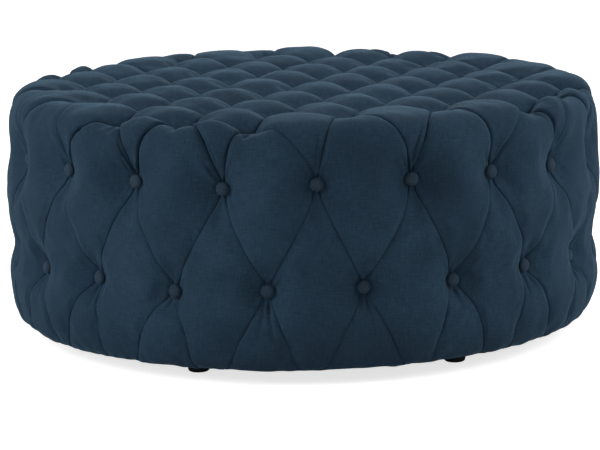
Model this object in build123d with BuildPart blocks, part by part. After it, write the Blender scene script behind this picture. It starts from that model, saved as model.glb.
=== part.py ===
from build123d import *

import os
from math import atan2, cos, degrees, hypot, radians, sin, sqrt, tan

# Round ottoman, buttoned all over: a drum of board and posts, foam on its top and
# round its side, one padded cover drawn down by covered buttons, and six low feet.
# Millimetres, +Z up, floor at z = 0, the buttoning's square lattice along X and Y.

# Overall size
crest_radius = 508.0
overall_height = 422.0
hem_height = 25.0

# Buttoning; the side rows stand at shares of the height between hem and crown
lattice_pitch = 111.2
top_button_reach = 465.0
side_buttons = 20
lower_row_share = 0.3134
upper_row_share = 0.73
button_radius = 11.0
button_thickness = 7.5
button_crown_radius = 6.0
button_sides = 8
seat_margin = 2.5
seat_dip = 1.0

# Side wall of the cover: heights of its levels and the radii reached there
seat_radius = 482.0
middle_crest_radius = 506.0
middle_notch_radius = 492.0
hem_radius = 482.0
hem_notch_radius = 477.0
turn_height = 12.0
turn_radius = 493.0
turn_notch_radius = 486.0
skirt_height = 42.0
skirt_radius = 503.0
skirt_lobe_radius = 497.0
skirt_notch_radius = 488.0
shoulder_drop = 66.0
shoulder_radius = 505.0
shoulder_lobe_radius = 501.0
shoulder_notch_radius = 488.0
rim_drop = 36.0
rim_radius = 497.0
rim_lobe_radius = 483.0
rim_notch_radius = 477.0
brow_drop = 15.0
brow_radius = 481.0
brow_notch_radius = 460.0
crown_radius = 456.0
lobe_tip_rise = 1.5
notch_lip = 6.0

# Widths of the lobes over the lower buttons, as shares of half the side pitch
hem_lobe_share = 0.68
skirt_lobe_share = 0.48
middle_lobe_share = 0.5
shoulder_lobe_share = 0.56
rim_lobe_share = 0.3
brow_lobe_share = 0.18

# How far the notches have turned towards the rim buttons at the rim level
rim_turn_share = 0.7

# Flanks of a swell: rise over run, and where the steep part gives way to the gentle
swell_slope = 0.56
flank_run_share = 0.3
flank_rise_share = 0.55
longest_run_share = 0.46
flat_share = 1e-9

# Pillows on the top
pit_depth = 27.0
ridge_depth = 12.0
petal_sag = 0.8
swell_share = 0.25
swell_rise_share = 0.75

# Rim buttons that stand beyond the deck lean outward
deck_reach = 430.0
rim_tilt = 35.0
rim_pit_depth = 36.0

# Padding
cover_thickness = 12.0
hem_thickness = 2.0
hem_reach = 52.0
top_foam_thickness = 30.0
padding_gap = 0.3

# Frame
frame_radius = 448.0
panel_thickness = 4.0
board_gap = 0.3
deck_thickness = 12.0
base_thickness = 18.0
base_width = 60.0
post_count = 8
post_size = 40.0
post_angle = 4.5
mortise_depth = 4.0
batten_width = 25.0
batten_height = 40.0
batten_end_gap = 8.0
batten_lane_share = 1.5
rail_width = 40.0
rail_height = 18.0
rail_angle = 27.0
rail_end_gap = 8.0

# Button twines
twine_side = 2.0
twine_gap = 0.3
twine_tail = 6.0

# Underside and feet
dust_cover_radius = 460.0
dust_cover_thickness = 0.7
foot_count = 6
foot_angle = 30.0
foot_circle_radius = 415.0
foot_top_radius = 20.0
foot_taper = 7.0
foot_edge = 3.0
foot_sides = 12
screw_radius = 2.2
screw_head_radius = 4.4
screw_head_height = 3.0
screw_recess = 8.0
screw_bite = 13.0
screw_sides = 6
screw_gap = 0.2

overrun = 5.0

# Heights, radii and angles that follow
covered_height = overall_height - hem_height
lower_row_height = hem_height + lower_row_share * covered_height
upper_row_height = hem_height + upper_row_share * covered_height
hem_top = hem_height + hem_thickness
side_pitch = 360 / side_buttons
half_pitch = side_pitch / 2
seat_half_width = button_radius + seat_margin
seat_angle = degrees(atan2(seat_half_width, seat_radius))
seat_notch_radius = hypot(seat_radius - seat_dip, seat_half_width)
middle_height = (lower_row_height + upper_row_height) / 2
top_seat_height = overall_height - pit_depth
rim_seat_height = overall_height - rim_pit_depth
cavity_radius = seat_radius - cover_thickness
cavity_top = rim_seat_height - cover_thickness
foam_top = cavity_top - padding_gap
deck_top = foam_top - top_foam_thickness
deck_bottom = deck_top - deck_thickness
foam_radius = cavity_radius - padding_gap
panel_inner_radius = frame_radius - panel_thickness
board_radius = panel_inner_radius - board_gap
base_top = hem_top + base_thickness
base_inner_radius = board_radius - base_width
foot_top = hem_height - dust_cover_thickness
twine_hole = twine_side + twine_gap
button_taper = degrees(atan2(button_radius - button_crown_radius, button_thickness))
hem_inner_radius = board_radius - hem_reach
screw_tip_height = hem_top + screw_bite
foot_tread_radius = foot_top_radius - (foot_top - foot_edge) * tan(radians(foot_taper))
right_angle = 90.0
post_circle_radius = board_radius * cos(radians(half_pitch / 2)) - post_size / 2
post_length = deck_bottom - base_top + 2 * mortise_depth
batten_lane_shift = batten_lane_share * lattice_pitch
batten_reach = batten_lane_shift + batten_width / 2
batten_length = 2 * (sqrt(board_radius**2 - batten_reach**2) - batten_end_gap)
rail_length = 2 * (sqrt(board_radius**2 - (rail_width / 2) ** 2) - rail_end_gap)
lattice_reach = int(crest_radius // lattice_pitch) + 1


# Lattice crossings, as steps along X and Y from the centre
def holds_button(i, j):
    return hypot(i, j) * lattice_pitch < top_button_reach


def on_rim(i, j):
    around = [(i + 1, j), (i - 1, j), (i, j + 1), (i, j - 1)]
    return holds_button(i, j) and not all(holds_button(*node) for node in around)


def beyond_deck(i, j):
    return hypot(i, j) * lattice_pitch > deck_reach


steps = range(-lattice_reach, lattice_reach + 1)
top_nodes = [(i, j) for i in steps for j in steps if holds_button(i, j)]
rim_nodes = sorted(
    (degrees(atan2(j, i)) % 360, hypot(i, j) * lattice_pitch) for i, j in top_nodes if on_rim(i, j)
)


# Planes on the button seats, with Z pointing out of the cover
def top_seat(i, j):
    x, y = i * lattice_pitch, j * lattice_pitch
    if not beyond_deck(i, j):
        return Plane(origin=(x, y, top_seat_height), z_dir=(0, 0, 1))
    outward = Vector(x, y, 0).normalized()
    lean = radians(rim_tilt)
    return Plane(
        origin=(x, y, rim_seat_height),
        x_dir=(-outward.Y, outward.X, 0),
        z_dir=(outward.X * sin(lean), outward.Y * sin(lean), cos(lean)),
    )


def side_seat(angle, height):
    across, along = cos(radians(angle)), sin(radians(angle))
    return Plane(
        origin=(seat_radius * across, seat_radius * along, height),
        x_dir=(-along, across, 0),
        z_dir=(across, along, 0),
    )


field_seats = [top_seat(*node) for node in top_nodes if not on_rim(*node)]
rim_seats = [top_seat(*node) for node in top_nodes if on_rim(*node)]
lower_seats = [side_seat(k * side_pitch, lower_row_height) for k in range(side_buttons)]
upper_seats = [
    side_seat(k * side_pitch + half_pitch, upper_row_height) for k in range(side_buttons)
]
top_seats = field_seats + rim_seats
side_seats = lower_seats + upper_seats


# Points across a swell, as distance along and height: the flank at each side keeps
# its slope, or its two slopes if it bends, whatever the swell's size
def swell_points(first, last, crest, bends):
    width = last[0] - first[0]
    flanks = []
    for (along, height), reach in ((first, width), (last, -width)):
        rise = crest - height
        run = min(rise / swell_slope / width, longest_run_share) * reach
        bend = (along + run * flank_run_share, height + rise * flank_rise_share)
        flanks.append([(along, height), *[bend] * bends, (along + run, crest)])
    return flanks[0] + flanks[1][::-1]


# A stretch of side wall between two notches, in the frame of its crest
def wall_stretch(first, last, crest_angle, crest):
    frame = Rot(0, 0, crest_angle)
    ends = []
    for angle, radius in (first, last):
        turn = radians(angle - crest_angle)
        ends.append((radius * sin(turn), radius * cos(turn)))
    return [(frame * Pos(out, along)).position for along, out in swell_points(*ends, crest, 1)]


# One closed level of the side: a lobe over each lower button and a petal over each
# upper one, parted by notches that leave the wall for the rim buttons as they wrap
def wall_ring(height, lobe_angle, notch_radius, lobe_radius, petal_radius, wrap_share, angle_share):
    notches, points = [], []
    for k, (rim_angle, rim_node_radius) in enumerate(rim_nodes):
        angle = k * side_pitch * (1 - angle_share) + rim_angle * angle_share
        radius = notch_radius * (1 - wrap_share) + (rim_node_radius + button_radius) * wrap_share
        radius = min(radius, petal_radius - notch_lip) if wrap_share else radius
        notches.append((angle, radius))
    notches.append((notches[0][0] + 360, notches[0][1]))
    for k in range(side_buttons):
        (angle, radius), (next_angle, next_radius) = notches[k], notches[k + 1]
        lobe_crest = radius + lobe_radius - notch_radius
        left, right = angle - lobe_angle, angle + lobe_angle
        lobe = wall_stretch((left, radius), (right, radius), k * side_pitch, lobe_crest)
        petal_start, petal_end = (right, radius), (next_angle - lobe_angle, next_radius)
        petal = wall_stretch(petal_start, petal_end, k * side_pitch + half_pitch, petal_radius)
        points += lobe[:-1] + petal[:-1]
    return [Vector(point.X, point.Y, height) for point in points]


lower_seat_bottom = lower_row_height - seat_half_width
lower_seat_top = lower_row_height + seat_half_width
upper_seat_bottom = upper_row_height - seat_half_width
upper_seat_top = upper_row_height + seat_half_width
hem_lobe = hem_lobe_share * half_pitch
skirt_lobe = skirt_lobe_share * half_pitch
middle_lobe = middle_lobe_share * half_pitch
wide_lobe = half_pitch - seat_angle
shoulder_lobe = shoulder_lobe_share * half_pitch
rim_lobe = rim_lobe_share * half_pitch
brow_lobe = brow_lobe_share * half_pitch
skirt_level = hem_height + skirt_height
shoulder_level = overall_height - shoulder_drop
rim_level = overall_height - rim_drop
brow_level = overall_height - brow_drop
crown_level = overall_height + overrun
brow_lobe_radius = brow_notch_radius + lobe_tip_rise
turn_lobe = (hem_lobe + skirt_lobe) / 2

wall_levels = {
    hem_height: (hem_lobe, hem_notch_radius, hem_radius, hem_radius, 0, 0),
    hem_height + turn_height: (turn_lobe, turn_notch_radius, turn_radius, turn_radius, 0, 0),
    skirt_level: (skirt_lobe, skirt_notch_radius, skirt_lobe_radius, skirt_radius, 0, 0),
    lower_seat_bottom: (seat_angle, seat_notch_radius, seat_radius, crest_radius, 0, 0),
    lower_seat_top: (seat_angle, seat_notch_radius, seat_radius, crest_radius, 0, 0),
    middle_height: (middle_lobe, middle_notch_radius, middle_crest_radius, middle_crest_radius, 0, 0),
    upper_seat_bottom: (wide_lobe, seat_notch_radius, crest_radius, seat_radius, 0, 0),
    upper_seat_top: (wide_lobe, seat_notch_radius, crest_radius, seat_radius, 0, 0),
    shoulder_level: (shoulder_lobe, shoulder_notch_radius, shoulder_lobe_radius, shoulder_radius, 0, 0),
    rim_level: (rim_lobe, rim_notch_radius, rim_lobe_radius, rim_radius, 0, rim_turn_share),
    brow_level: (brow_lobe, brow_notch_radius, brow_lobe_radius, brow_radius, 1, 1),
    crown_level: (brow_lobe, brow_notch_radius, brow_lobe_radius, crown_radius, 1, 1),
}


# Depth of the top below its crown at a crossing and half way along a pleat
def crossing_depth(i, j):
    if not holds_button(i, j):
        return petal_sag
    return rim_pit_depth if beyond_deck(i, j) else pit_depth


def pleat_depth(first, last):
    return ridge_depth if holds_button(*first) and holds_button(*last) else 0


# Depths along one section of the pillows: at each column, and between it and the next
def section_depths(j, share):
    rise_share = swell_rise_share if share else 0
    near = j if share <= swell_share else j + 1
    depths = []
    for i in steps:
        column = crossing_depth(i, near)
        if rise_share:
            middle = pleat_depth((i, j), (i, j + 1))
            column = column * (1 - rise_share) + middle * rise_share
        span = pleat_depth((i, near), (i + 1, near)) * (1 - rise_share)
        depths.append((column, span))
    return depths


# One closed section of the pillow block, standing on the floor
def pillow_ring(j, share):
    depths = section_depths(j, share)
    y = (j + share) * lattice_pitch
    columns = [(i * lattice_pitch, overall_height - depths[n][0]) for n, i in enumerate(steps)]
    points = [(columns[0][0], 0)]
    for n in range(len(columns) - 1):
        swell = swell_points(columns[n], columns[n + 1], overall_height - depths[n][1], 0)
        points += swell[:-1]
    points += [columns[-1], (columns[-1][0], 0)]
    return [Vector(x, y, z) for x, z in points]


# A closed skin of flat facets through rings that have as many points each
def faceted(rings):
    facets = [Face(Wire.make_polygon(rings[0])), Face(Wire.make_polygon(rings[-1]))]
    for near, far in zip(rings, rings[1:]):
        for n in range(len(near)):
            a, b, c, d = near[n - 1], near[n], far[n], far[n - 1]
            if abs((b - a).cross(d - a).normalized().dot((c - a).normalized())) < flat_share:
                facets.append(Face(Wire.make_polygon([a, b, c, d])))
            else:
                facets.append(Face(Wire.make_polygon([a, b, c])))
                facets.append(Face(Wire.make_polygon([a, c, d])))
    return Solid(Shell(facets))


os.makedirs("parts", exist_ok=True)

wall = faceted([wall_ring(height, *level) for height, level in wall_levels.items()])
rows = [(j, share) for j in steps[:-1] for share in (0, swell_share, 1 - swell_share)]
pillows = faceted([pillow_ring(j, share) for j, share in rows + [(lattice_reach, 0)]])

# A drum's outline, with a flat at each column of side buttons; the radius is to flats
def drum_outline(radius, mode=Mode.ADD):
    RegularPolygon(radius, 2 * side_buttons, False, rotation=half_pitch / 2, mode=mode)


# A bolt circle of screw clearance holes for the feet
def screw_holes(mode=Mode.SUBTRACT):
    with PolarLocations(foot_circle_radius, foot_count, start_angle=foot_angle):
        RegularPolygon(screw_radius + screw_gap, screw_sides, False, mode=mode)


# A level polygon as a ring of points, its flats at the given radius
def polygon_ring(radius, sides, height):
    corner = radius / cos(radians(180 / sides))
    turns = [2 * radians(180 / sides) * n for n in range(sides)]
    return [Vector(corner * cos(turn), corner * sin(turn), height) for turn in turns]


# A button: a covered disc with a bevelled face, its flat back on the seat
with BuildPart() as button:
    with BuildSketch():
        RegularPolygon(button_radius, button_sides)
    extrude(amount=button_thickness, taper=button_taper)


# Covered buttons, one on each seat
def buttons_on(seats):
    with BuildPart() as buttons:
        with Locations(*seats):
            add(button.part)
    return buttons


# Straight runs of a given width, from the button seats a given way into the padding
def runs_from(seats, width, depth):
    with BuildPart() as runs:
        with Locations(*seats):
            Box(width, width, depth, align=(Align.CENTER, Align.CENTER, Align.MAX))
    return runs


side_twine_length = seat_radius - panel_inner_radius + twine_tail
field_twine_length = top_seat_height - deck_bottom + twine_tail
rim_twine_length = (rim_seat_height - deck_bottom) / cos(radians(rim_tilt)) + twine_tail
leaning_seats = [top_seat(*node) for node in top_nodes if beyond_deck(*node)]
upright_rim_nodes = [node for node in top_nodes if on_rim(*node) and not beyond_deck(*node)]
upright_rim_seats = [top_seat(*node) for node in upright_rim_nodes]
upright_seats = field_seats + upright_rim_seats

side_channels = runs_from(side_seats, twine_hole, side_twine_length)
upright_channels = runs_from(upright_seats, twine_hole, field_twine_length)
leaning_channels = runs_from(leaning_seats, twine_hole, rim_twine_length)

# Cover: woven cloth over bonded fibre, one piece from hem to hem
with BuildPart() as tufted_cover:
    add(wall)
    add(pillows, mode=Mode.INTERSECT)
    with BuildSketch(Plane.XY.offset(hem_top)):
        drum_outline(cavity_radius)
    extrude(amount=cavity_top - hem_top, mode=Mode.SUBTRACT)
    with BuildSketch(Plane.XY.offset(hem_height)):
        drum_outline(hem_inner_radius)
        screw_holes(Mode.ADD)
    extrude(amount=hem_thickness, mode=Mode.SUBTRACT)
    with BuildSketch(*top_seats):
        Rectangle(2 * seat_half_width, 2 * seat_half_width)
    extrude(amount=pit_depth, mode=Mode.SUBTRACT)
    add(side_channels.part, mode=Mode.SUBTRACT)
    add(upright_channels.part, mode=Mode.SUBTRACT)
    add(leaning_channels.part, mode=Mode.SUBTRACT)

# Foam: a disc over the deck, and a band round the side panel under its overhang
with BuildPart() as top_foam:
    with BuildSketch(Plane.XY.offset(deck_top)):
        drum_outline(foam_radius)
    extrude(amount=top_foam_thickness)
    add(upright_channels.part, mode=Mode.SUBTRACT)
    add(leaning_channels.part, mode=Mode.SUBTRACT)

with BuildPart() as side_foam:
    with BuildSketch(Plane.XY.offset(hem_top)):
        drum_outline(foam_radius)
        drum_outline(frame_radius + padding_gap, mode=Mode.SUBTRACT)
    extrude(amount=deck_top - hem_top)
    add(side_channels.part, mode=Mode.SUBTRACT)

# Frame: a drilled deck and a base ring inside a bent panel, held apart by posts
with BuildPart() as posts:
    with PolarLocations(post_circle_radius, post_count, start_angle=post_angle):
        with Locations((0, 0, base_top - mortise_depth)):
            Box(post_size, post_size, post_length, align=(Align.CENTER, Align.CENTER, Align.MIN))

with BuildPart() as deck_board:
    with BuildSketch(Plane.XY.offset(deck_bottom)):
        drum_outline(board_radius)
    extrude(amount=deck_thickness)
    add(posts.part, mode=Mode.SUBTRACT)
    add(upright_channels.part, mode=Mode.SUBTRACT)
    add(leaning_channels.part, mode=Mode.SUBTRACT)

with BuildPart() as side_panel:
    with BuildSketch(Plane.XY.offset(hem_top)):
        drum_outline(frame_radius)
        drum_outline(panel_inner_radius, mode=Mode.SUBTRACT)
    extrude(amount=deck_top - hem_top)
    add(side_channels.part, mode=Mode.SUBTRACT)

with BuildPart() as base_ring:
    with BuildSketch(Plane.XY.offset(hem_top)):
        drum_outline(board_radius)
        drum_outline(base_inner_radius, mode=Mode.SUBTRACT)
        screw_holes()
    extrude(amount=base_thickness)
    add(posts.part, mode=Mode.SUBTRACT)

for number, post in enumerate(posts.part.solids(), start=1):
    post.label = f"post_{number}"
    export_step(post, f"parts/post_{number}.step")

# Battens on edge under the deck, in the second lanes between its rows of holes
for name, side in (("front", -1), ("back", 1)):
    with BuildPart() as batten:
        with BuildSketch(Plane.XY.offset(deck_bottom - batten_height)):
            with Locations((0, side * batten_lane_shift)):
                Rectangle(batten_length, batten_width)
        extrude(amount=batten_height)
    batten.part.label = f"deck_batten_{name}"
    export_step(batten.part, f"parts/deck_batten_{name}.step")

# Two rails crossing on the base ring, halved into each other at the centre
for name, turn, half in (("lower", 0, Align.MIN), ("upper", right_angle, Align.MAX)):
    with BuildPart() as rail:
        with BuildSketch(Plane.XY.offset(base_top)):
            Rectangle(rail_length, rail_width, rotation=rail_angle + turn)
        extrude(amount=rail_height)
        notch_floor = base_top + (rail_height / 2 if half == Align.MIN else 0)
        with BuildSketch(Plane.XY.offset(notch_floor)):
            Rectangle(rail_width, rail_width, rotation=rail_angle + turn)
        extrude(amount=rail_height / 2, mode=Mode.SUBTRACT)
    rail.part.label = f"base_rail_{name}"
    export_step(rail.part, f"parts/base_rail_{name}.step")

# Button twines, straight from each button's back through padding and board
with BuildPart() as rim_twines:
    add(runs_from(upright_rim_seats, twine_side, field_twine_length).part)
    add(runs_from(leaning_seats, twine_side, rim_twine_length).part)

# Dust cover across the underside, over the turned hem
with BuildPart() as dust_cover:
    with BuildSketch(Plane.XY.offset(foot_top)):
        drum_outline(dust_cover_radius)
        screw_holes()
    extrude(amount=dust_cover_thickness)

# A foot: a plug that narrows to a bevelled tread, its screw head sunk in the tread
with BuildPart() as foot:
    add(
        faceted(
            [
                polygon_ring(foot_tread_radius - foot_edge, foot_sides, 0),
                polygon_ring(foot_tread_radius, foot_sides, foot_edge),
                polygon_ring(foot_top_radius, foot_sides, foot_top),
            ]
        )
    )
    with BuildSketch():
        RegularPolygon(screw_head_radius + screw_gap, screw_sides, False)
    extrude(amount=screw_recess, mode=Mode.SUBTRACT)
    with BuildSketch(Plane.XY.offset(screw_recess)):
        RegularPolygon(screw_radius + screw_gap, screw_sides, False)
    extrude(amount=foot_top, mode=Mode.SUBTRACT)

with BuildPart() as foot_screw:
    with BuildSketch(Plane.XY.offset(screw_recess - screw_head_height)):
        RegularPolygon(screw_head_radius, screw_sides, False)
    extrude(amount=screw_head_height)
    with BuildSketch(Plane.XY.offset(screw_recess)):
        RegularPolygon(screw_radius, screw_sides, False)
    extrude(amount=screw_tip_height - screw_recess)

with BuildPart() as foot_screws:
    with PolarLocations(foot_circle_radius, foot_count, start_angle=foot_angle):
        add(foot_screw.part)

with BuildPart() as feet:
    with PolarLocations(foot_circle_radius, foot_count, start_angle=foot_angle):
        add(foot.part)

for number, one_foot in enumerate(feet.part.solids(), start=1):
    one_foot.label = f"foot_{number}"
    export_step(one_foot, f"parts/foot_{number}.step")

pieces = {
    "tufted_cover": tufted_cover,
    "top_foam": top_foam,
    "side_foam": side_foam,
    "deck_board": deck_board,
    "side_panel": side_panel,
    "base_ring": base_ring,
    "dust_cover": dust_cover,
    "foot_screws": foot_screws,
    "top_field_buttons": buttons_on(field_seats),
    "top_rim_buttons": buttons_on(rim_seats),
    "upper_row_buttons": buttons_on(upper_seats),
    "lower_row_buttons": buttons_on(lower_seats),
    "top_field_twines": runs_from(field_seats, twine_side, field_twine_length),
    "top_rim_twines": rim_twines,
    "upper_row_twines": runs_from(upper_seats, twine_side, side_twine_length),
    "lower_row_twines": runs_from(lower_seats, twine_side, side_twine_length),
}
for name, piece in pieces.items():
    piece.part.label = name
    export_step(piece.part, f"parts/{name}.step")
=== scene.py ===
import math
import random

import bmesh
import bpy
import numpy as np
from mathutils import Matrix, Vector


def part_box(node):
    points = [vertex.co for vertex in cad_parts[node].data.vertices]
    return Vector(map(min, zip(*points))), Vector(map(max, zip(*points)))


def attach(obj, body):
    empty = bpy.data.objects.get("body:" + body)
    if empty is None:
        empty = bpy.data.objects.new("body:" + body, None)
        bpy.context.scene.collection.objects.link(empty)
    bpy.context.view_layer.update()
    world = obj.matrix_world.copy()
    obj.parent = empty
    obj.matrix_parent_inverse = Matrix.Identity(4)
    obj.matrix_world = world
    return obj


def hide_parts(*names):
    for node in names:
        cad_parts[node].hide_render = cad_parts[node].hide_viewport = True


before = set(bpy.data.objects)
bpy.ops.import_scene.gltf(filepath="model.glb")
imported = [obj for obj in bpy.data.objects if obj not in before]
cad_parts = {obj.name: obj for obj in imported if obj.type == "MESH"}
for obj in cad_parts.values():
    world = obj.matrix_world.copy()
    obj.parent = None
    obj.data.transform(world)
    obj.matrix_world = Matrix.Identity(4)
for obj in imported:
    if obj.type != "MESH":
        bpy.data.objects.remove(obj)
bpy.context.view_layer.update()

# Round ottoman, deep-buttoned all over. Its lengths are in millimetres here, and in metres once in a
# mesh. The camera, the lamps, the floor and the depths of bumps are in metres.
mm = 0.001
scene = bpy.context.scene
scene.view_settings.view_transform = "Standard"

# ---- camera: the photograph's viewpoint, turned so that the top's rows of buttons lie along x and y
view = {"distance": 4.202, "height": 0.939, "azimuth": 24.5, "down": 10.43, "yaw": -0.09,
        "roll": -0.94, "lens": 146.9, "sensor": 36, "farClip": 50}


def placeCamera():
    down, yaw = math.radians(view["down"]), math.radians(view["yaw"])
    ahead = Vector((math.sin(yaw) * math.cos(down), math.cos(yaw) * math.cos(down), -math.sin(down)))
    right = Vector((math.cos(yaw), -math.sin(yaw), 0))
    up = right.cross(ahead)
    roll = math.radians(view["roll"])
    across = math.cos(roll) * right + math.sin(roll) * up
    upward = math.cos(roll) * up - math.sin(roll) * right
    place = Matrix((across, upward, -ahead)).transposed().to_4x4()
    place.translation = Vector((0, -view["distance"], view["height"]))
    camera = bpy.data.objects.new("photoCamera", bpy.data.cameras.new("photoCamera"))
    scene.collection.objects.link(camera)
    camera.matrix_world = Matrix.Rotation(math.radians(view["azimuth"]), 4, "Z") @ place
    camera.data.lens = view["lens"]
    camera.data.sensor_width = view["sensor"]
    camera.data.clip_end = view["farClip"]
    scene.camera = camera


placeCamera()
print("camera placed")

# ---- small helpers
upWay = np.array([0, 0, 1.0])


def outWay(angle):
    return np.array([math.cos(angle), math.sin(angle), 0])


def roundWay(angle):
    return np.array([-math.sin(angle), math.cos(angle), 0])


def unit(way):
    return way / np.linalg.norm(way, axis=-1, keepdims=True)


def smoothStep(value, low, high):
    share = np.clip((value - low) / (high - low), 0, 1)
    return share * share * (3 - 2 * share)


def newPiece(name, mesh, material):
    mesh.materials.append(material)
    piece = bpy.data.objects.new(name, mesh)
    scene.collection.objects.link(piece)
    return piece


def allSmooth(mesh):
    mesh.polygons.foreach_set("use_smooth", [True] * len(mesh.polygons))


def meshPiece(name, points, faces, material):
    mesh = bpy.data.meshes.new(name)
    mesh.from_pydata([tuple(p) for p in np.array(points) * mm], [], faces)
    mesh.update()
    allSmooth(mesh)
    return newPiece(name, mesh, material)


def standFor(piece, node):
    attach(piece, "root")
    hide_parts(node)


def layCloth(mesh, places):
    # the map from each corner to its place in the flat cloth
    corner = np.empty(len(mesh.loops), np.int64)
    mesh.loops.foreach_get("vertex_index", corner)
    mesh.uv_layers.new(name="cloth").data.foreach_set("uv", np.array(places, np.float32)[corner].ravel())


def meshPoints(mesh, values="co"):
    flat = np.empty(len(mesh.vertices) * 3)
    mesh.vertices.foreach_get(values, flat)
    return flat.reshape(-1, 3)


def crispEdges(piece, angle=38):
    piece.data.set_sharp_from_angle(angle=math.radians(angle))


def joinRows(faces, start, after, count, closed=True):
    # four-sided faces between two rows of points
    for n in range(count if closed else count - 1):
        m = (n + 1) % count
        faces.append((start + n, start + m, after + m, after + n))


class Nodes:
    def __init__(self, tree):
        self.tree = tree

    def feed(self, node, inputs):
        for key, value in inputs.items():
            if isinstance(value, bpy.types.NodeSocket):
                self.tree.links.new(value, node.inputs[key])
            else:
                node.inputs[key].default_value = value

    def node(self, kind, inputs=None, **settings):
        node = self.tree.nodes.new(kind)
        for key, value in settings.items():
            setattr(node, key, value)
        self.feed(node, inputs or {})
        return node

    def add(self, kind, inputs=None, **settings):
        return self.node(kind, inputs, **settings).outputs[0]

    def reckon(self, operation, *values):
        return self.add("ShaderNodeMath", dict(enumerate(values)), operation=operation)

    def bump(self, height, strength, depth):
        return self.add("ShaderNodeBump", {"Height": height, "Strength": strength, "Distance": depth})

    def ramp(self, value, *stops):
        node = self.node("ShaderNodeValToRGB", {"Fac": value})
        elements = node.color_ramp.elements
        for element, (place, colour) in zip(elements, (stops[0], stops[-1])):
            element.position, element.color = place, (*colour, 1)
        for place, colour in stops[1:-1]:
            elements.new(place).color = (*colour, 1)
        return node.outputs[0]

    def lattice(self, where, pitch):
        # the product of a wave along x and a wave along y
        part = self.node("ShaderNodeSeparateXYZ", {"Vector": where}).outputs
        waves = [self.reckon("SINE", self.reckon("MULTIPLY", part[axis], 2 * math.pi / pitch))
                 for axis in "XY"]
        return self.reckon("MULTIPLY", *waves)


class Finish(Nodes):
    def __init__(self, name):
        self.material = bpy.data.materials.new(name)
        self.material.use_nodes = True
        super().__init__(self.material.node_tree)
        self.shader = self.tree.nodes["Principled BSDF"]


# ---- finishes
clothLook = {"deep": (0.0120, 0.0278, 0.0490), "mid": (0.0200, 0.0450, 0.0750),
             "pale": (0.0335, 0.0722, 0.1155), "threadPitch": 1.3, "slubLength": 17.0, "slubWidth": 2.0,
             "patchSize": 160.0, "weft": 0.55, "warp": 0.5, "patches": 0.7, "thread": 0.10, "spread": 0.33,
             "sheen": 0.28, "sheenRoughness": 0.17, "sheenTint": (0.34, 0.72, 1.0, 1), "roughness": 0.86,
             "specular": 0.1, "slubHeight": 0.8, "bump": 0.35, "bumpDepth": 0.0006}
# the buttons' cloth is the cover's linen painted lighter and greyer: a painted highlight standing for the
# light their domed faces catch
paintedHighlightButtonCloth = {**clothLook, "deep": (0.0190, 0.0325, 0.0515), "mid": (0.0300, 0.0530, 0.0790),
               "pale": (0.0490, 0.0820, 0.1200)}


def wovenCloth(name, look):
    n = Finish(name)
    uv = n.node("ShaderNodeUVMap", uv_map="cloth").outputs["UV"]   # one unit is a millimetre of cloth
    slubs = []
    long, thin = 1 / look["slubLength"], 1 / look["slubWidth"]
    for scale, detail in (((long, thin, 1), 3.0), ((thin, long, 1), 2.0)):
        spread = n.add("ShaderNodeMapping", {"Vector": uv, "Scale": scale})
        slubs.append(n.add("ShaderNodeTexNoise", {"Vector": spread, "Scale": 1.0, "Detail": detail,
                                                  "Roughness": 0.6}))
    patch = n.add("ShaderNodeTexNoise", {"Vector": uv, "Scale": 1 / look["patchSize"], "Detail": 3.0})
    weave = n.lattice(uv, look["threadPitch"])
    tone = n.reckon("MULTIPLY", slubs[0], look["weft"])
    for source, share in ((slubs[1], "warp"), (patch, "patches"), (weave, "thread")):
        tone = n.reckon("MULTIPLY_ADD", source, look[share], tone)
    middle = (look["weft"] + look["warp"] + look["patches"]) / 2
    tone = n.add("ShaderNodeMapRange", {"Value": tone, "From Min": middle - look["spread"],
                                        "From Max": middle + look["spread"]})
    colour = n.ramp(tone, (0, look["deep"]), (0.5, look["mid"]), (1, look["pale"]))
    height = n.reckon("MULTIPLY_ADD", slubs[0], look["slubHeight"], weave)
    bump = n.bump(height, look["bump"], look["bumpDepth"])
    n.feed(n.shader, {"Base Color": colour, "Roughness": look["roughness"], "Sheen Weight": look["sheen"],
                      "Sheen Roughness": look["sheenRoughness"], "Sheen Tint": look["sheenTint"],
                      "Specular IOR Level": look["specular"], "Normal": bump})
    return n.material


def grainedSolid(name, dark, light, scale, stretch, roughness, bumpDepth=0.0004, metallic=0.0):
    n = Finish(name)
    where = n.node("ShaderNodeTexCoord").outputs["Object"]
    spread = n.add("ShaderNodeMapping", {"Vector": where, "Scale": stretch})
    grain = n.add("ShaderNodeTexNoise", {"Vector": spread, "Scale": scale, "Detail": 6.0, "Roughness": 0.62})
    colour = n.ramp(grain, (0.3, dark), (0.7, light))
    bump = n.bump(grain, 0.5, bumpDepth)
    n.feed(n.shader, {"Base Color": colour, "Roughness": roughness, "Metallic": metallic, "Normal": bump})
    return n.material


dustLook = {"dark": (0.008, 0.008, 0.009), "light": (0.026, 0.026, 0.028), "bondPitch": 2.2,
            "roughness": 0.93, "bump": 0.6, "bumpDepth": 0.0004}


def spunBondedCloth():
    # matted fibres with a lattice of pressed bond points
    n = Finish("spunBondedCloth")
    where = n.node("ShaderNodeTexCoord").outputs["Object"]
    fibre = n.add("ShaderNodeTexNoise", {"Vector": where, "Scale": 900.0, "Detail": 4.0, "Distortion": 2.5})
    lattice = n.lattice(where, dustLook["bondPitch"] * mm)
    bond = n.add("ShaderNodeMapRange", {"Value": lattice, "From Min": 0.45, "From Max": 0.8})
    height = n.reckon("MULTIPLY_ADD", bond, -0.8, fibre)
    colour = n.ramp(height, (0.1, dustLook["dark"]), (0.75, dustLook["light"]))
    bump = n.bump(height, dustLook["bump"], dustLook["bumpDepth"])
    n.feed(n.shader, {"Base Color": colour, "Roughness": dustLook["roughness"], "Normal": bump})
    return n.material


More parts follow.
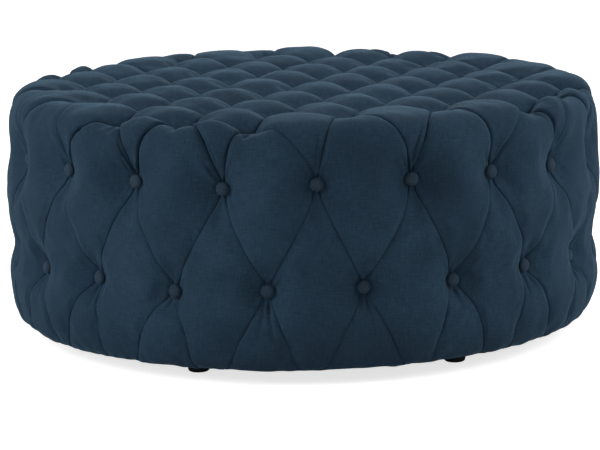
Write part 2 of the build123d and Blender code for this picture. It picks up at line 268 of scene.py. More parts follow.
coverCloth = wovenCloth("tealLinen", clothLook)
# the buttons' finish carries that painted highlight, lighter than the cover's linen
paintedHighlightButtonFinish = wovenCloth("buttonLinen", paintedHighlightButtonCloth)
plyFinish = grainedSolid("plywoodFace", (0.30, 0.19, 0.10), (0.50, 0.36, 0.21), 9, (1, 9, 9), 0.6)
pineFinish = grainedSolid("planedPine", (0.44, 0.29, 0.15), (0.64, 0.48, 0.29), 11, (8, 8, 1), 0.58)
panelFinish = grainedSolid("hardboard", (0.16, 0.09, 0.045), (0.24, 0.145, 0.08), 60, (1, 1, 1), 0.5)
foamFinish = grainedSolid("openFoam", (0.62, 0.54, 0.33), (0.76, 0.69, 0.47), 420, (1, 1, 1), 0.95, 0.0008)
twineFinish = grainedSolid("waxedTwine", (0.42, 0.39, 0.31), (0.60, 0.57, 0.48), 900, (1, 1, 4), 0.5)
footFinish = grainedSolid("mouldedFoot", (0.006, 0.006, 0.006), (0.011, 0.011, 0.011), 160, (1, 1, 1), 0.42,
                          0.0002)
dustFinish = spunBondedCloth()
screwFinish = grainedSolid("zincPlate", (0.42, 0.42, 0.41), (0.62, 0.62, 0.60), 300, (1, 1, 6), 0.34,
                           0.00008, 1.0)
print("finishes made")

# ---- the buttoning: where the cloth is drawn down
buttoning = {"pitch": 111.2, "topReach": 465.0, "columns": 20, "lowerHeight": 149.4, "upperHeight": 314.8,
             "seatRadius": 482.0, "topSeat": 395.0, "rimSeat": 386.0, "deckReach": 430.0, "flatReach": 250.0,
             "looseness": 4.0}

# the crest line of the cover, from the middle of the top to under the base: radius, height
crestLine = [(0, 425), (250, 425), (400, 425.5), (440, 425.5), (461, 424), (477, 420), (489, 412),
             (499.5, 400.5), (505.5, 384), (508, 356), (510, 310), (512, 238), (506, 164), (510.5, 106),
             (508, 70), (500.5, 41), (492, 26.5), (481, 20.8), (472, 20.6), (465, 22.6), (460.5, 25.6),
             (452, 26.3), (440, 26.4), (390, 26.4)]
away = (-math.sin(math.radians(view["azimuth"])), math.cos(math.radians(view["azimuth"])))
settle = 0.009   # the stuffing stands this share higher at the back than in the middle
wallRadius = 500   # where lengths round the wall are measured


def between(t, low, high, before, after):
    return (high - t) / (high - low) * before + (t - low) / (high - low) * after


def smoothLine(points, steps):
    # a Catmull-Rom run through the points, sampled evenly between each pair
    pts = np.array(points, float)
    pts = np.vstack([2 * pts[0] - pts[1], pts, 2 * pts[-1] - pts[-2]])
    out = []
    for k in range(1, len(pts) - 2):
        p = pts[k - 1:k + 3]
        knots = np.cumsum([0.0] + [math.sqrt(np.linalg.norm(p[n + 1] - p[n])) for n in range(3)])
        for t in np.linspace(knots[1], knots[2], steps, endpoint=False):
            a = [between(t, knots[n], knots[n + 1], p[n], p[n + 1]) for n in range(3)]
            b = [between(t, knots[n], knots[n + 2], a[n], a[n + 1]) for n in range(2)]
            out.append(between(t, knots[1], knots[2], *b))
    return np.array(out + [pts[-2]])


crest = smoothLine(crestLine, 40)
crestRun = np.concatenate([[0], np.cumsum(np.linalg.norm(np.diff(crest, axis=0), axis=1))])
crestSlope = np.gradient(crest, crestRun, axis=0)
crestNormal = unit(np.stack([-crestSlope[:, 1], crestSlope[:, 0]], axis=1))


def onCrest(run):
    # radius, height and outward normal of the crest line at a run of cloth from the middle
    return [np.interp(run, crestRun, column) for column in (*crest.T, *crestNormal.T)]


def seatOnCrest(radius, height):
    # the run of the crest's nearest point to a button seat, and how deep the seat lies under it
    gap = np.hypot(crest[:, 0] - radius, crest[:, 1] - height)
    k = int(np.argmin(gap))
    return float(crestRun[k]), float(gap[k])


def inSpace(runs, angles, depths):
    radius, height, outward, upward = onCrest(runs)
    radius = radius - depths * outward
    x, y, z = radius * np.cos(angles), radius * np.sin(angles), height - depths * upward
    return np.stack([x, y, z * (1 + settle * (x * away[0] + y * away[1]) / wallRadius)], -1)


def placeOf(spot, deep=None):
    run, angle, ownDepth = spots[spot]
    return inSpace(np.array(run), np.array(angle), np.array(ownDepth if deep is None else deep))


pitch = buttoning["pitch"]
columns = buttoning["columns"]
columnTurn = 2 * math.pi / columns
halfTurn = columnTurn / 2


def holdsButton(i, j):
    return math.hypot(i, j) * pitch < buttoning["topReach"]


def onRim(i, j):
    around = ((i + 1, j), (i - 1, j), (i, j + 1), (i, j - 1))
    return holdsButton(i, j) and not all(holdsButton(*node) for node in around)


spots = {}   # name: run of cloth from the middle, angle, depth
for i in range(-4, 5):
    for j in range(-4, 5):
        if holdsButton(i, j):
            radius = math.hypot(i, j) * pitch
            height = buttoning["rimSeat" if radius > buttoning["deckReach"] else "topSeat"]
            flat = radius <= buttoning["flatReach"]
            run, depth = (radius, crestLine[0][1] - height) if flat else seatOnCrest(radius, height)
            spots["T", i, j] = (run, math.atan2(j, i), depth)

# hand-tied buttons stand a little off an even spacing: along the row, and up
drift = {("U", 13): (5, 5), ("U", 14): (6, 2), ("U", 15): (5, -2), ("U", 16): (0, 6), ("U", 17): (-1, 7),
         ("U", 18): (-6, 4), ("U", 19): (-5, -5), ("L", 13): (-5, -5), ("L", 14): (-1, 2),
         ("L", 15): (-3, -5), ("L", 16): (-3, 2), ("L", 17): (-5, 5), ("L", 18): (-6, 4),
         ("L", 19): (-5, 5), ("L", 0): (-5, -5)}
driftDraw = random.Random(5)
loose = buttoning["looseness"]
for k in range(columns):
    for row, middle, height in (("U", halfTurn, "upperHeight"), ("L", 0.0, "lowerHeight")):
        anyDrift = driftDraw.uniform(-loose, loose), driftDraw.uniform(-loose, loose)
        slide, lift = drift.get((row, k), anyDrift)
        run, depth = seatOnCrest(buttoning["seatRadius"], buttoning[height] + lift)
        spots[row, k] = (run, k * columnTurn + middle + slide / buttoning["seatRadius"], depth)

# plump says how full a pillow stands, keyed by whether it lies on the top and whether it laps over the
# pleat; a fade runs from nothing to full between two distances from a button
pleats = {"topDepth": 20.0, "rimDepth": 10.0, "sideDepth": 5.0, "skirtDepth": 4.5, "hemDepth": 0.8,
          "hemRadius": 476.0, "hemHeight": 18.0, "hemSpread": 0.68, "straightSkirt": (16, 17),
          "plump": {(True, True): 1.6, (True, False): 1.42, (False, True): 2.1, (False, False): 1.7},
          "lip": 6.0, "lipWidth": 4.0, "lipFade": (11, 26), "groove": {"top": 3.5, "rim": 4.2, "side": 2.5},
          "grooveWidth": 3.2, "grooveFade": (9, 16), "pitEdge": 8.4, "pullReach": 62.0,
          "topPullReach": 50.0, "dimple": {"T": (21.0, 2.3), "U": (44.0, 2.1), "L": (37.0, 2.1)},
          "pitBlend": 4.0, "ring": 2.4, "ringRadius": 12.6, "ringWidth": 2.1, "puckers": 13,
          "puckerDepth": 1.1, "puckerStart": (10, 15), "puckerEnd": (16, 36), "uneven": 1.6, "offCentre": 3}

# how a pleat bows between its ends: the share of the turn and of the run at two guide points
bows = {"rim": ((0.42, 0.10), (0.86, 0.52)), "side": ((0.28, 0.36), (0.68, 0.66)),
        "skirt": ((0.50, 0.16), (0.92, 0.60)), "straightSkirt": ((0.36, 0.28), (0.72, 0.64)),
        "hem": ((0.33, 0.33), (0.67, 0.67))}

hemRun = seatOnCrest(pleats["hemRadius"], pleats["hemHeight"])[0]
# where single skirt pleats meet the hem, off their usual place: (lower button, side): along the hem
hemDrift = {(14, -1): -26, (14, 1): -33, (15, -1): -22, (15, 1): -18, (16, -1): -23, (16, 1): -2,
            (17, -1): -21, (17, 1): 13}
for k in range(columns):
    for side in (-1, 1):
        slide = side * pleats["hemSpread"] * halfTurn + hemDrift.get((k, side), 0) / pleats["hemRadius"]
        spots["H", k, side] = (hemRun, k * columnTurn + slide, pleats["hemDepth"])

# rim buttons in order round the top, so that number k stands over lower button k
rimSpots = sorted((spot for spot in spots if spot[0] == "T" and onRim(*spot[1:])),
                  key=lambda spot: round(spots[spot][1] % (2 * math.pi), 6) % (2 * math.pi))

# places of the vertices from a pleat's end to its middle, finest round the button, and along all of it
half = np.array([0, 0.02, 0.06, 0.11, 0.145, 0.175, 0.21, 0.27, 0.36, 0.48, 0.64, 0.82, 1.0])
along = np.concatenate([half / 2, 1 - half[-2::-1] / 2])

pleatLines = {}   # (spot, spot): run, angle and depth at each vertex along the pleat

# some of the pleats over the rim are barely drawn: (upper button, side of the petal above it): share
rimStrength = {(12, "left"): 0.35, (13, "left"): 0.25, (16, "left"): 0.4, (17, "left"): 0.65,
               (18, "right"): 0.35, (19, "right"): 0.3}
strengths = {}   # pair of spots: share of the usual depth, lip and groove


def nearAngle(angle, other):
    return other + (angle - other + math.pi) % (2 * math.pi) - math.pi


def layPleat(first, last, depth, bow=None):
    # a pleat between two spots: straight on the top, a bowed run elsewhere
    (runA, angleA, depthA), (runB, angleB, depthB) = spots[first], spots[last]
    angleB = nearAngle(angleB, angleA)
    t = along
    if bow is None:
        x = (1 - t) * runA * math.cos(angleA) + t * runB * math.cos(angleB)
        y = (1 - t) * runA * math.sin(angleA) + t * runB * math.sin(angleB)
        runs, angles = np.hypot(x, y), nearAngle(np.arctan2(y, x), angleA if runA > runB else angleB)
    else:
        (turn1, share1), (turn2, share2) = bows[bow]
        weights = ((1 - t) ** 3, 3 * t * (1 - t) ** 2, 3 * t ** 2 * (1 - t), t ** 3)
        turn, reach = angleB - angleA, runB - runA
        guides = (angleA, angleA + turn1 * turn, angleA + turn2 * turn, angleB)
        angles = sum(w * guide for w, guide in zip(weights, guides))
        guides = (runA, runA + share1 * reach, runA + share2 * reach, runB)
        runs = sum(w * guide for w, guide in zip(weights, guides))
    length = math.hypot(runB - runA, (angleB - angleA) * 0.5 * (runA + runB))
    pull = min(0.5 * length, pleats["topPullReach" if first[0] == last[0] == "T" else "pullReach"])
    drops = [(deep - depth) * (1 - smoothStep(gap * length, pleats["pitEdge"], pull))
             for deep, gap in ((depthA, t), (depthB, 1 - t))]
    pleatLines[first, last] = (runs, angles, depth + drops[0] + drops[1])


def pleatBetween(first, last):
    if (first, last) in pleatLines:
        return pleatLines[first, last]
    return tuple(values[::-1] for values in pleatLines[last, first])


pillows = []   # spots round each pillow, and whether it lies flat on the top
for i in range(-4, 4):
    for j in range(-4, 4):
        corners = [("T", i, j), ("T", i + 1, j), ("T", i + 1, j + 1), ("T", i, j + 1)]
        if all(corner in spots for corner in corners):
            pillows.append((corners, True))
for spot in [s for s in spots if s[0] == "T"]:
    for other in (("T", spot[1] + 1, spot[2]), ("T", spot[1], spot[2] + 1)):
        if other in spots:
            layPleat(spot, other, pleats["topDepth"])
for k in range(columns):
    last, following = (k - 1) % columns, (k + 1) % columns
    over, after = rimSpots[k], rimSpots[following]
    upper, before, lower, nextLower = ("U", k), ("U", last), ("L", k), ("L", following)
    for end, petalSide in ((upper, "left"), (before, "right")):
        share = rimStrength.get((end[1], petalSide), 1.0)
        strengths[frozenset((over, end))] = share
        layPleat(over, end, pleats["rimDepth"] * share, "rim")
    layPleat(upper, lower, pleats["sideDepth"], "side")
    layPleat(upper, nextLower, pleats["sideDepth"], "side")
    for side in (-1, 1):
        layPleat(lower, ("H", k, side), pleats["skirtDepth"],
                 "straightSkirt" if k in pleats["straightSkirt"] else "skirt")
    layPleat(("H", k, -1), ("H", k, 1), pleats["hemDepth"], "hem")
    layPleat(("H", k, 1), ("H", following, -1), pleats["hemDepth"], "hem")
    pillows.append(([over, before, lower, upper], False))
    pillows.append(([upper, lower, ("H", k, 1), ("H", following, -1), nextLower], False))
    pillows.append(([lower, ("H", k, -1), ("H", k, 1)], False))
    if (over, after) in pleatLines or (after, over) in pleatLines:
        pillows.append(([over, upper, after], False))
    else:
        gapNodes = ((over[1], after[2]), (after[1], over[2]))
        inner = min(gapNodes, key=lambda node: math.hypot(*node))
        pillows.append(([over, upper, after, ("T", *inner)], False))
print("buttoning laid out:", len(spots), "spots,", len(pleatLines), "pleats,", len(pillows), "pillows")


# ---- the cover's mesh: each pillow is cut into one patch per corner, with vertices along the pleats
def flatPlace(runs, angles, onTop):
    if onTop:
        return np.stack([runs * np.cos(angles), runs * np.sin(angles)], -1)
    return np.stack([angles * wallRadius, runs], -1)


def runAndAngle(place, onTop):
    if onTop:
        return np.hypot(place[..., 0], place[..., 1]), np.arctan2(place[..., 1], place[..., 0])
    return place[..., 1], place[..., 0] / wallRadius


def swell(share, plump):
    # 1 on the pleat and 0 at the crest, falling steeply first
    return 1 - (1 - (1 - share) ** plump) ** (1 / plump)


def smoothMost(first, second, reach):
    lap = np.clip(reach - np.abs(first - second), 0, None) / reach
    return np.maximum(first, second) + lap * lap * reach / 4


ruffle = {"depth": 0.9, "size": 46.0, "fade": (12, 40), "hemDepth": 0.7, "hemSize": 26.0, "hemReach": 45.0,
          "tuck": 3.2, "tuckReach": 80.0, "waves": 14, "pace": (0.6, 1.6), "phase": 6.28,
          "hemStretch": (1, 1, 0.25), "turnedRows": 6}


def softNoise(points, size, seed):
    # a few slow waves in many directions, the same on every run
    draw = np.random.default_rng(seed)
    total = np.zeros(points.shape[:-1])
    for _ in range(ruffle["waves"]):
        way = unit(draw.normal(size=3))
        turns, pace = points @ way * (2 * np.pi / size), draw.uniform(*ruffle["pace"])
        total += np.sin(turns * pace + draw.uniform(0, ruffle["phase"]))
    return total / ruffle["waves"] ** 0.5


def clothWave(base):
    return ruffle["depth"] * softNoise(base, ruffle["size"], 3)


def hemWave(base):
    return ruffle["hemDepth"] * softNoise(base * ruffle["hemStretch"], ruffle["hemSize"], 5)


def hemTuck(angles):
    # the hem is pulled in harder on one side
    return ruffle["tuck"] * np.clip(np.cos(angles), 0, 1) ** 2


def sidesOf(corners):
    return list(zip(corners, corners[1:] + corners[:1]))


def middleOf(corners, onTop, nearWhat):
    places = []
    for side in sidesOf(corners):
        runs, angles, _ = pleatBetween(*side)
        line = flatPlace(runs, nearAngle(angles, nearWhat), onTop)
        places += [line[0], line[len(line) // 2]]
    return np.mean(places, axis=0)


middles = {}
overSide = {}   # pair of spots: number of the pillow that laps over their pleat, and its run
for number, (corners, onTop) in enumerate(pillows):
    nearWhat = spots[corners[-1]][1] if onTop else spots[next(c for c in corners if c[0] in "UL")][1]
    middle = middleOf(corners, onTop, nearWhat)
    middles[number] = (middle, nearWhat)
    run = float(runAndAngle(middle, onTop)[0])
    for pair in map(frozenset, sidesOf(corners)):
        if pair not in overSide or run < overSide[pair][1]:
            overSide[pair] = (number, run)


def edgeOf(number, corner, other, onTop, nearWhat):
    # a pleat as one of its two pillows meets it: flat places, depths, groove, lip and plumpness
    runs, angles, depths = pleatBetween(corner, other)
    angles = nearAngle(angles, nearWhat)
    pair, kinds = frozenset((corner, other)), {corner[0], other[0]}
    over = overSide[pair][0] == number
    strength = 0.0 if kinds == {"H"} else strengths.get(pair, 1.0)
    line = inSpace(runs, angles, 0)

    def fade(low, high):
        # 0 near the buttons at both ends of the pleat, 1 along its middle
        return (smoothStep(np.linalg.norm(line - line[0], axis=-1), low, high)
                * smoothStep(np.linalg.norm(line - line[-1], axis=-1), low, high))

    groove = pleats["groove"]["top" if kinds == {"T"} else "rim" if "T" in kinds else "side"]
    return (flatPlace(runs, angles, onTop), depths, strength * groove * fade(*pleats["grooveFade"]),
            strength * over * pleats["lip"] * fade(*pleats["lipFade"]), pleats["plump"][onTop, over])


def besidePleat(ends, starts, depths, groove, lip, plump):
    # what a pleat does to the patch beside it: rows along the pleat, columns away from it
    way = (ends - starts)[:, None]
    size = np.linalg.norm(way, axis=-1)
    apart, width = half * size, pleats["lipWidth"]
    lap = lip[:, None] * apart / width * np.exp(1 - apart / width) * (1 - half) ** 2
    crease = groove[:, None] * np.exp(-(apart / pleats["grooveWidth"]) ** 2)
    return (lap / size)[..., None] * way, crease, swell(half, plump)[None], depths[:, None]


def drawnDown(base, depth, corners):
    # the dimple, ring and puckers round each button of the pillow
    nearest, ringed = np.full(base.shape[:-1], 1e3), 0.0
    for spot in corners:
        if spot[0] == "H":
            continue
        run, angle, deep = spots[spot]
        here, across = placeOf(spot, 0.0), roundWay(angle)
        apart = base - here
        gap = np.linalg.norm(apart, axis=-1)
        nearest = np.minimum(nearest, gap)
        reach, fall = pleats["dimple"][spot[0]]
        depth = smoothMost(depth, deep * np.exp(-(gap / reach) ** fall), pleats["pitBlend"])
        ringed = ringed + pleats["ring"] * np.exp(-((gap - pleats["ringRadius"]) / pleats["ringWidth"]) ** 2)
        bearing = np.arctan2(apart @ across, apart @ np.cross(across, unit(here)))
        puckered = smoothStep(gap, *pleats["puckerStart"]) * (1 - smoothStep(gap, *pleats["puckerEnd"]))
        gathers = np.cos(pleats["puckers"] * bearing + run + 3 * angle)
        depth = depth + puckered * pleats["puckerDepth"] * gathers
    return depth, ringed, nearest


# the stuffing's push: cloth held along the pleats, at the buttons and at the hem, free between them
puffing = {"cloth": {"quality": 5, "mass": 0.3, "tension_stiffness": 15.0, "compression_stiffness": 3.0,
                     "shear_stiffness": 3.0, "bending_stiffness": 0.2, "use_pressure": True,
                     "uniform_pressure_force": 0.6, "vertex_group_mass": "held", "pin_stiffness": 3.0,
                     "shrink_min": -0.02, "shrink_max": -0.02},
           "frames": 12, "cap": 6.0, "freeRise": (0.12, 0.5), "freeGap": (13, 22), "freeHem": (4, 30)}


def buildCover():
    draw = random.Random(7)
    points, faces, clothPlaces, pillowOf, freeness = [], [], [], [], []
    count, off = len(half), pleats["offCentre"]
    a, b = half[:, None, None], half[None, :, None]
    for number, (corners, onTop) in enumerate(pillows):
        middle, nearWhat = middles[number]
        middle = middle + np.array([draw.uniform(-off, off), draw.uniform(-off, off)])
        lift = draw.uniform(-1, 1) * pleats["uneven"]
        edges = [edgeOf(number, *side, onTop, nearWhat) for side in sidesOf(corners)]
        for n in range(len(corners)):
            # the pleats that leave this corner: the next one, and the last one read backward
            ahead = [values[:count] for values in edges[n][:4]] + [edges[n][4]]
            back = [values[::-1][:count] for values in edges[n - 1][:4]] + [edges[n - 1][4]]
            startA, startB = ahead[0], back[0]
            endA = startB[-1] + half[:, None] * (middle - startB[-1])
            endB = startA[-1] + half[:, None] * (middle - startA[-1])
            cloth = ((1 - b) * startA[:, None] + b * endA[:, None] + (1 - a) * startB[None] + a * endB[None]
                     - ((1 - a) * (1 - b) * startA[0] + a * (1 - b) * startA[-1]
                        + (1 - a) * b * startB[-1] + a * b * middle))
            lapA, creaseA, fallA, depthA = besidePleat(endA, *ahead)
            lapB, creaseB, fallB, depthB = (values.swapaxes(0, 1) for values in besidePleat(endB, *back))
            rise = (1 - fallA) * (1 - fallB)
            runs, angles = runAndAngle(cloth - lapA - lapB, onTop)
            if onTop:
                angles = nearAngle(angles, nearWhat)
            base = inSpace(runs, angles, 0)
            depth = depthA * fallA + depthB * fallB - depthA[0, 0] * fallA * fallB
            depth, ringed, nearest = drawnDown(base, depth, corners)
            fromHem = np.abs(runs - hemRun)
            depth = (depth + creaseA + creaseB + ringed - lift * rise
                     - smoothStep(nearest, *ruffle["fade"]) * clothWave(base)
                     + (1 - smoothStep(fromHem, 0, ruffle["hemReach"])) * hemWave(base)
                     + (1 - smoothStep(fromHem, 0, ruffle["tuckReach"])) * hemTuck(angles))
            first = len(points)
            points.extend(inSpace(runs, angles, depth).reshape(-1, 3))
            freeness.extend((smoothStep(rise, *puffing["freeRise"]) * smoothStep(nearest, *puffing["freeGap"])
                             * smoothStep(fromHem, *puffing["freeHem"])).ravel())
            clothPlaces.extend(cloth.reshape(-1, 2))
            for p in range(count - 1):
                for q in range(count - 1):
                    k = first + p * count + q
                    faces.append((k, k + count, k + count + 1, k + 1))
                    pillowOf.append(number)
    # the cloth turned under the base, from the hem line inward
    rows = ruffle["turnedRows"]
    for side in sidesOf([("H", k, end) for k in range(columns) for end in (-1, 1)]):
        runs, angles, depths = pleatBetween(*side)
        hemLine = inSpace(runs, angles, 0)
        first, width = len(points), len(runs)
        for row in range(rows):
            share = row / (rows - 1)
            at = runs + share * (crestRun[-1] - runs)
            depth = (depths + hemWave(hemLine) - clothWave(hemLine) + hemTuck(angles)) * (1 - share)
            points.extend(inSpace(at, angles, depth))
            clothPlaces.extend(np.stack([angles * wallRadius, at], -1))
            freeness.extend([0.0] * width)
        for row in range(rows - 1):
            joinRows(faces, first + row * width, first + (row + 1) * width, width, closed=False)
            pillowOf += [-1] * (width - 1)
    return np.array(points) * mm, faces, clothPlaces, pillowOf, freeness


weld = {"gap": 0.00003, "crease": 0.85}   # the gap in metres


def weldedPiece(name, points, faces, clothPlaces, pillowOf, freeness, material, slotName):
    mesh = bpy.data.meshes.new(name)
    mesh.from_pydata(points.tolist(), [], faces)
    layCloth(mesh, clothPlaces)
    mesh.attributes.new("pillow", "INT", "FACE").data.foreach_set("value", np.array(pillowOf, np.int32))
    mesh.attributes.new("free", "FLOAT", "POINT").data.foreach_set("value", np.array(freeness, np.float32))
    bm = bmesh.new()
    bm.from_mesh(mesh)
    bmesh.ops.remove_doubles(bm, verts=bm.verts, dist=weld["gap"])
    bmesh.ops.recalc_face_normals(bm, faces=bm.faces)
    owner = bm.faces.layers.int["pillow"]
    sharp = bm.edges.layers.float.new("crease_edge")
    for edge in bm.edges:
        owners = {face[owner] for face in edge.link_faces}
        if len(owners) == 2 and -1 not in owners:
            edge[sharp] = weld["crease"]
    bm.to_mesh(mesh)
    bm.free()
    return newPiece(name, mesh, material)


def evaluated(piece):
    return piece.evaluated_get(bpy.context.evaluated_depsgraph_get())


def puffUp(piece):
    mesh = piece.data
    start = meshPoints(mesh)
    free = np.empty(len(start), np.float32)
    mesh.attributes["free"].data.foreach_get("value", free)
    held = piece.vertex_groups.new(name="held")
    for k, share in enumerate(free):
        held.add([k], 1 - float(share), "REPLACE")
    cloth = piece.modifiers.new("puff", "CLOTH")
    cloth.collision_settings.use_collision = False
    cloth.point_cache.frame_end = puffing["frames"]
    for key, value in puffing["cloth"].items():
        setattr(cloth.settings, key, value)
    cloth.settings.effector_weights.gravity = 0
    for frameNumber in range(1, puffing["frames"] + 1):
        scene.frame_set(frameNumber)
    move = meshPoints(evaluated(piece).data) - start
    size = np.linalg.norm(move, axis=1)
    cap = puffing["cap"] * mm
    move *= (cap * np.tanh(size / cap) / np.maximum(size, 1e-9))[:, None]
    piece.modifiers.clear()
    scene.frame_set(1)
    mesh.vertices.foreach_set("co", (start + move).ravel())
    mesh.update()
    print("cloth settled, swelled by up to", round(float(size.max() / mm), 1), "mm, on average",
          round(float(size.mean() / mm), 2))


def subdivided(piece):
    rounding = piece.modifiers.new("rounding", "SUBSURF")
    rounding.levels = rounding.render_levels = 1
    shape = bpy.data.meshes.new_from_object(evaluated(piece))
    piece.modifiers.clear()
    piece.data = shape
    allSmooth(shape)


# the folds that radiate from a button into the cloth beside it: bearing, length, depth, own width;
# a fold of the usual width has a ridge beside it
folds = {"upper": [(66, 70, 2.0), (124, 66, 1.7), (111, 56, 1.5)],
         "lower": [(-78, 56, 1.9), (-101, 50, 1.8), (24, 30, 1.0)],
         "top": [(50, 34, 1.0), (140, 30, 1.0), (-38, 32, 1.0)],
         "rim": [(50, 34, 1.0), (140, 30, 1.0), (-90, 52, 6.0, 5.5)],
         "width": 2.8, "wander": 9.0, "ownWander": 2.0, "bend": 4.0, "start": (11, 18), "tail": 0.55,
         "ridge": 0.75, "ridgeAside": 1.9, "ridgeWidth": 1.3, "reach": 85.0,
         "lengths": (0.7, 1.15), "depths": (0.5, 1.2), "longStart": (13, 24), "longTail": 0.5}
# long folds of single buttons: bearing, length, depth; and upright creases: aside, above, length, depth
longFolds = {("L", 16): [(-100, 88, 2.6), (-82, 104, 3.0)]}
looseFolds = {("U", 13): [(44, 62, 15, 2.4)]}
# a second fold beside a rim pleat: upper button, side of its petal, left or right of the pleat,
# how far beside it, depth, and where it starts and ends from the button
secondFolds = [(14, "left", 1, 7.5, 2.2, 12, 78), (14, "left", -1, 8.5, 1.5, 12, 46),
               (15, "left", -1, 5.0, 1.5, 40, 128), (16, "right", 1, 8.5, 2.0, 12, 84),
               (17, "right", 1, 9.0, 2.2, 12, 92), (18, "right", 1, 9.0, 2.2, 14, 48)]
secondFold = {"width": 2.1, "reach": 130.0, "near": 24, "partsOver": 60, "start": 8, "end": 18}


def foldLine(x, y, turn, length, start, tail, bend=0.0):
    # how far beside a fold each point lies, and how strongly the fold shows there
    ahead = x * math.cos(turn) + y * math.sin(turn)
    aside = y * math.cos(turn) - x * math.sin(turn) + bend * (ahead / length) ** 2
    return aside, smoothStep(ahead, *start) * (1 - smoothStep(ahead, tail * length, length))


def foldCloth(piece):
    # shallow pinched folds, laid into the finished mesh
    mesh = piece.data
    points, normals = meshPoints(mesh), meshPoints(mesh, "normal")
    draw = random.Random(11)
    shift = np.zeros(len(points))
    usual = folds["width"]
    for spot, (run, angle, deep) in spots.items():
        if spot[0] == "H":
            continue
        kind = {"U": "upper", "L": "lower", "T": "rim" if spot in rimSpots else "top"}[spot[0]]
        here = placeOf(spot) * mm
        near = np.where(np.linalg.norm(points - here, axis=1) < folds["reach"] * mm)[0]
        apart = (points[near] - here) / mm
        outward, upward = onCrest(run)[2:]
        x, y = apart @ roundWay(angle), apart @ (outward * upWay - upward * outWay(angle))
        for bearing, length, depth, *own in folds[kind]:
            turn = math.radians(bearing + draw.uniform(-1, 1) * folds["ownWander" if own else "wander"])
            length *= draw.uniform(*folds["lengths"])
            depth *= draw.uniform(*folds["depths"])
            bend = draw.uniform(-folds["bend"], folds["bend"])
            aside, fade = foldLine(x, y, turn, length, folds["start"], folds["tail"], bend)
            form = np.exp(-(aside / (own[0] if own else usual)) ** 2)
            if not own:
                ridge = (aside - folds["ridgeAside"] * usual) / (folds["ridgeWidth"] * usual)
                form = form - folds["ridge"] * np.exp(-ridge ** 2)
            shift[near] -= depth * fade * form
        for bearing, length, depth in longFolds.get(spot, []):
            aside, fade = foldLine(x, y, math.radians(bearing), length, folds["longStart"], folds["longTail"])
            shift[near] -= depth * fade * np.exp(-(aside / usual) ** 2)
        for aside, above, length, depth in looseFolds.get(spot, []):
            shift[near] -= depth * np.exp(-((x - aside) / usual) ** 2 - ((y - above) / length) ** 2)
    for k, petalSide, side, offset, depth, start, end in secondFolds:
        over = rimSpots[k if petalSide == "left" else (k + 1) % columns]
        line = inSpace(*pleatBetween(("U", k), over))
        near = np.where(np.linalg.norm(points - line.mean(axis=0) * mm, axis=1) < secondFold["reach"] * mm)[0]
        apart = points[near, None] / mm - line[None]
        gaps = np.linalg.norm(apart, axis=2)
        closest = np.argmin(gaps, axis=1)
        way = unit(np.gradient(line, axis=0)[closest])
        apart = apart[np.arange(len(near)), closest]
        beside = unit(np.cross(outWay(spots["U", k][1]), way))
        aside = np.einsum("nk,nk->n", apart, beside) * side
        run = np.linalg.norm(line[closest] - line[0], axis=1) + np.einsum("nk,nk->n", apart, way)
        target = offset * smoothStep(run, 0, secondFold["partsOver"])
        fade = (smoothStep(run, start, start + secondFold["start"])
                * (1 - smoothStep(run, end - secondFold["end"], end)))
        beneath = gaps.min(axis=1) < secondFold["near"]
        shift[near] -= depth * fade * beneath * np.exp(-((aside - target) / secondFold["width"]) ** 2)
    points += normals * shift[:, None] * mm
    mesh.vertices.foreach_set("co", points.ravel())
    mesh.update()


cover = weldedPiece("tuftedCover", *buildCover(), coverCloth, "cover_cloth")
print("cover:", len(cover.data.vertices), "vertices before subdivision")
puffUp(cover)
subdivided(cover)
foldCloth(cover)
standFor(cover, "tufted_cover")
print("cover ready:", len(cover.data.vertices), "vertices")

# ---- covered buttons: cloth drawn over a domed former, gathered in small pleats at its edge
buttonLook = {"radius": 11.0, "thickness": 7.5, "sides": 28, "tilt": 4.0, "gather": 0.012, "gathers": 9,
              "gatherFrom": 0.9, "clothRoom": 400,
              "profile": [(0.0, 1.16), (0.3, 1.13), (0.55, 1.05), (0.75, 0.92), (0.89, 0.74), (0.97, 0.54),
                          (1.0, 0.36), (0.97, 0.16), (0.86, 0.0)]}


def buttonRow(name, which, node):
    draw = random.Random(len(name))
    points, faces, cloth = [], [], []
    sides, profile = buttonLook["sides"], buttonLook["profile"]
    for spot in which:
        run, angle, deep = spots[spot]
        outward, upward = onCrest(run)[2:]
        seat, across = placeOf(spot), roundWay(angle)
        normal = outward * outWay(angle) + upward * upWay
        down = np.cross(across, normal)
        lean = [math.tan(math.radians(draw.uniform(-1, 1) * buttonLook["tilt"])) for _ in range(2)]
        normal = unit(normal + lean[0] * across + lean[1] * down)
        across = unit(np.cross(down, normal))
        down = np.cross(across, normal)
        first = len(points)
        shiftX, shiftY = (draw.uniform(0, buttonLook["clothRoom"]) for _ in range(2))
        points.append(seat + normal * buttonLook["thickness"] * profile[0][1])
        cloth.append((shiftX, shiftY))
        for share, rise in profile[1:]:
            for n in range(sides):
                turn = 2 * math.pi * n / sides
                wave = math.cos(buttonLook["gathers"] * turn + spot[1])
                gather = 1 + buttonLook["gather"] * wave * (share > buttonLook["gatherFrom"])
                x, y = (buttonLook["radius"] * share * gather * f(turn) for f in (math.cos, math.sin))
                points.append(seat + across * x + down * y + normal * buttonLook["thickness"] * rise)
                cloth.append((shiftX + x, shiftY + y))
        for n in range(sides):
            m = (n + 1) % sides
            faces.append((first, first + 1 + n, first + 1 + m))
            for ring in range(len(profile) - 2):
                start = first + 1 + ring * sides
                faces.append((start + n, start + sides + n, start + sides + m, start + m))
    # the buttons wear the lighter copy of the linen, a painted highlight on their domed faces
    piece = meshPiece(name, points, faces, paintedHighlightButtonFinish)
    layCloth(piece.data, cloth)
    standFor(piece, node)


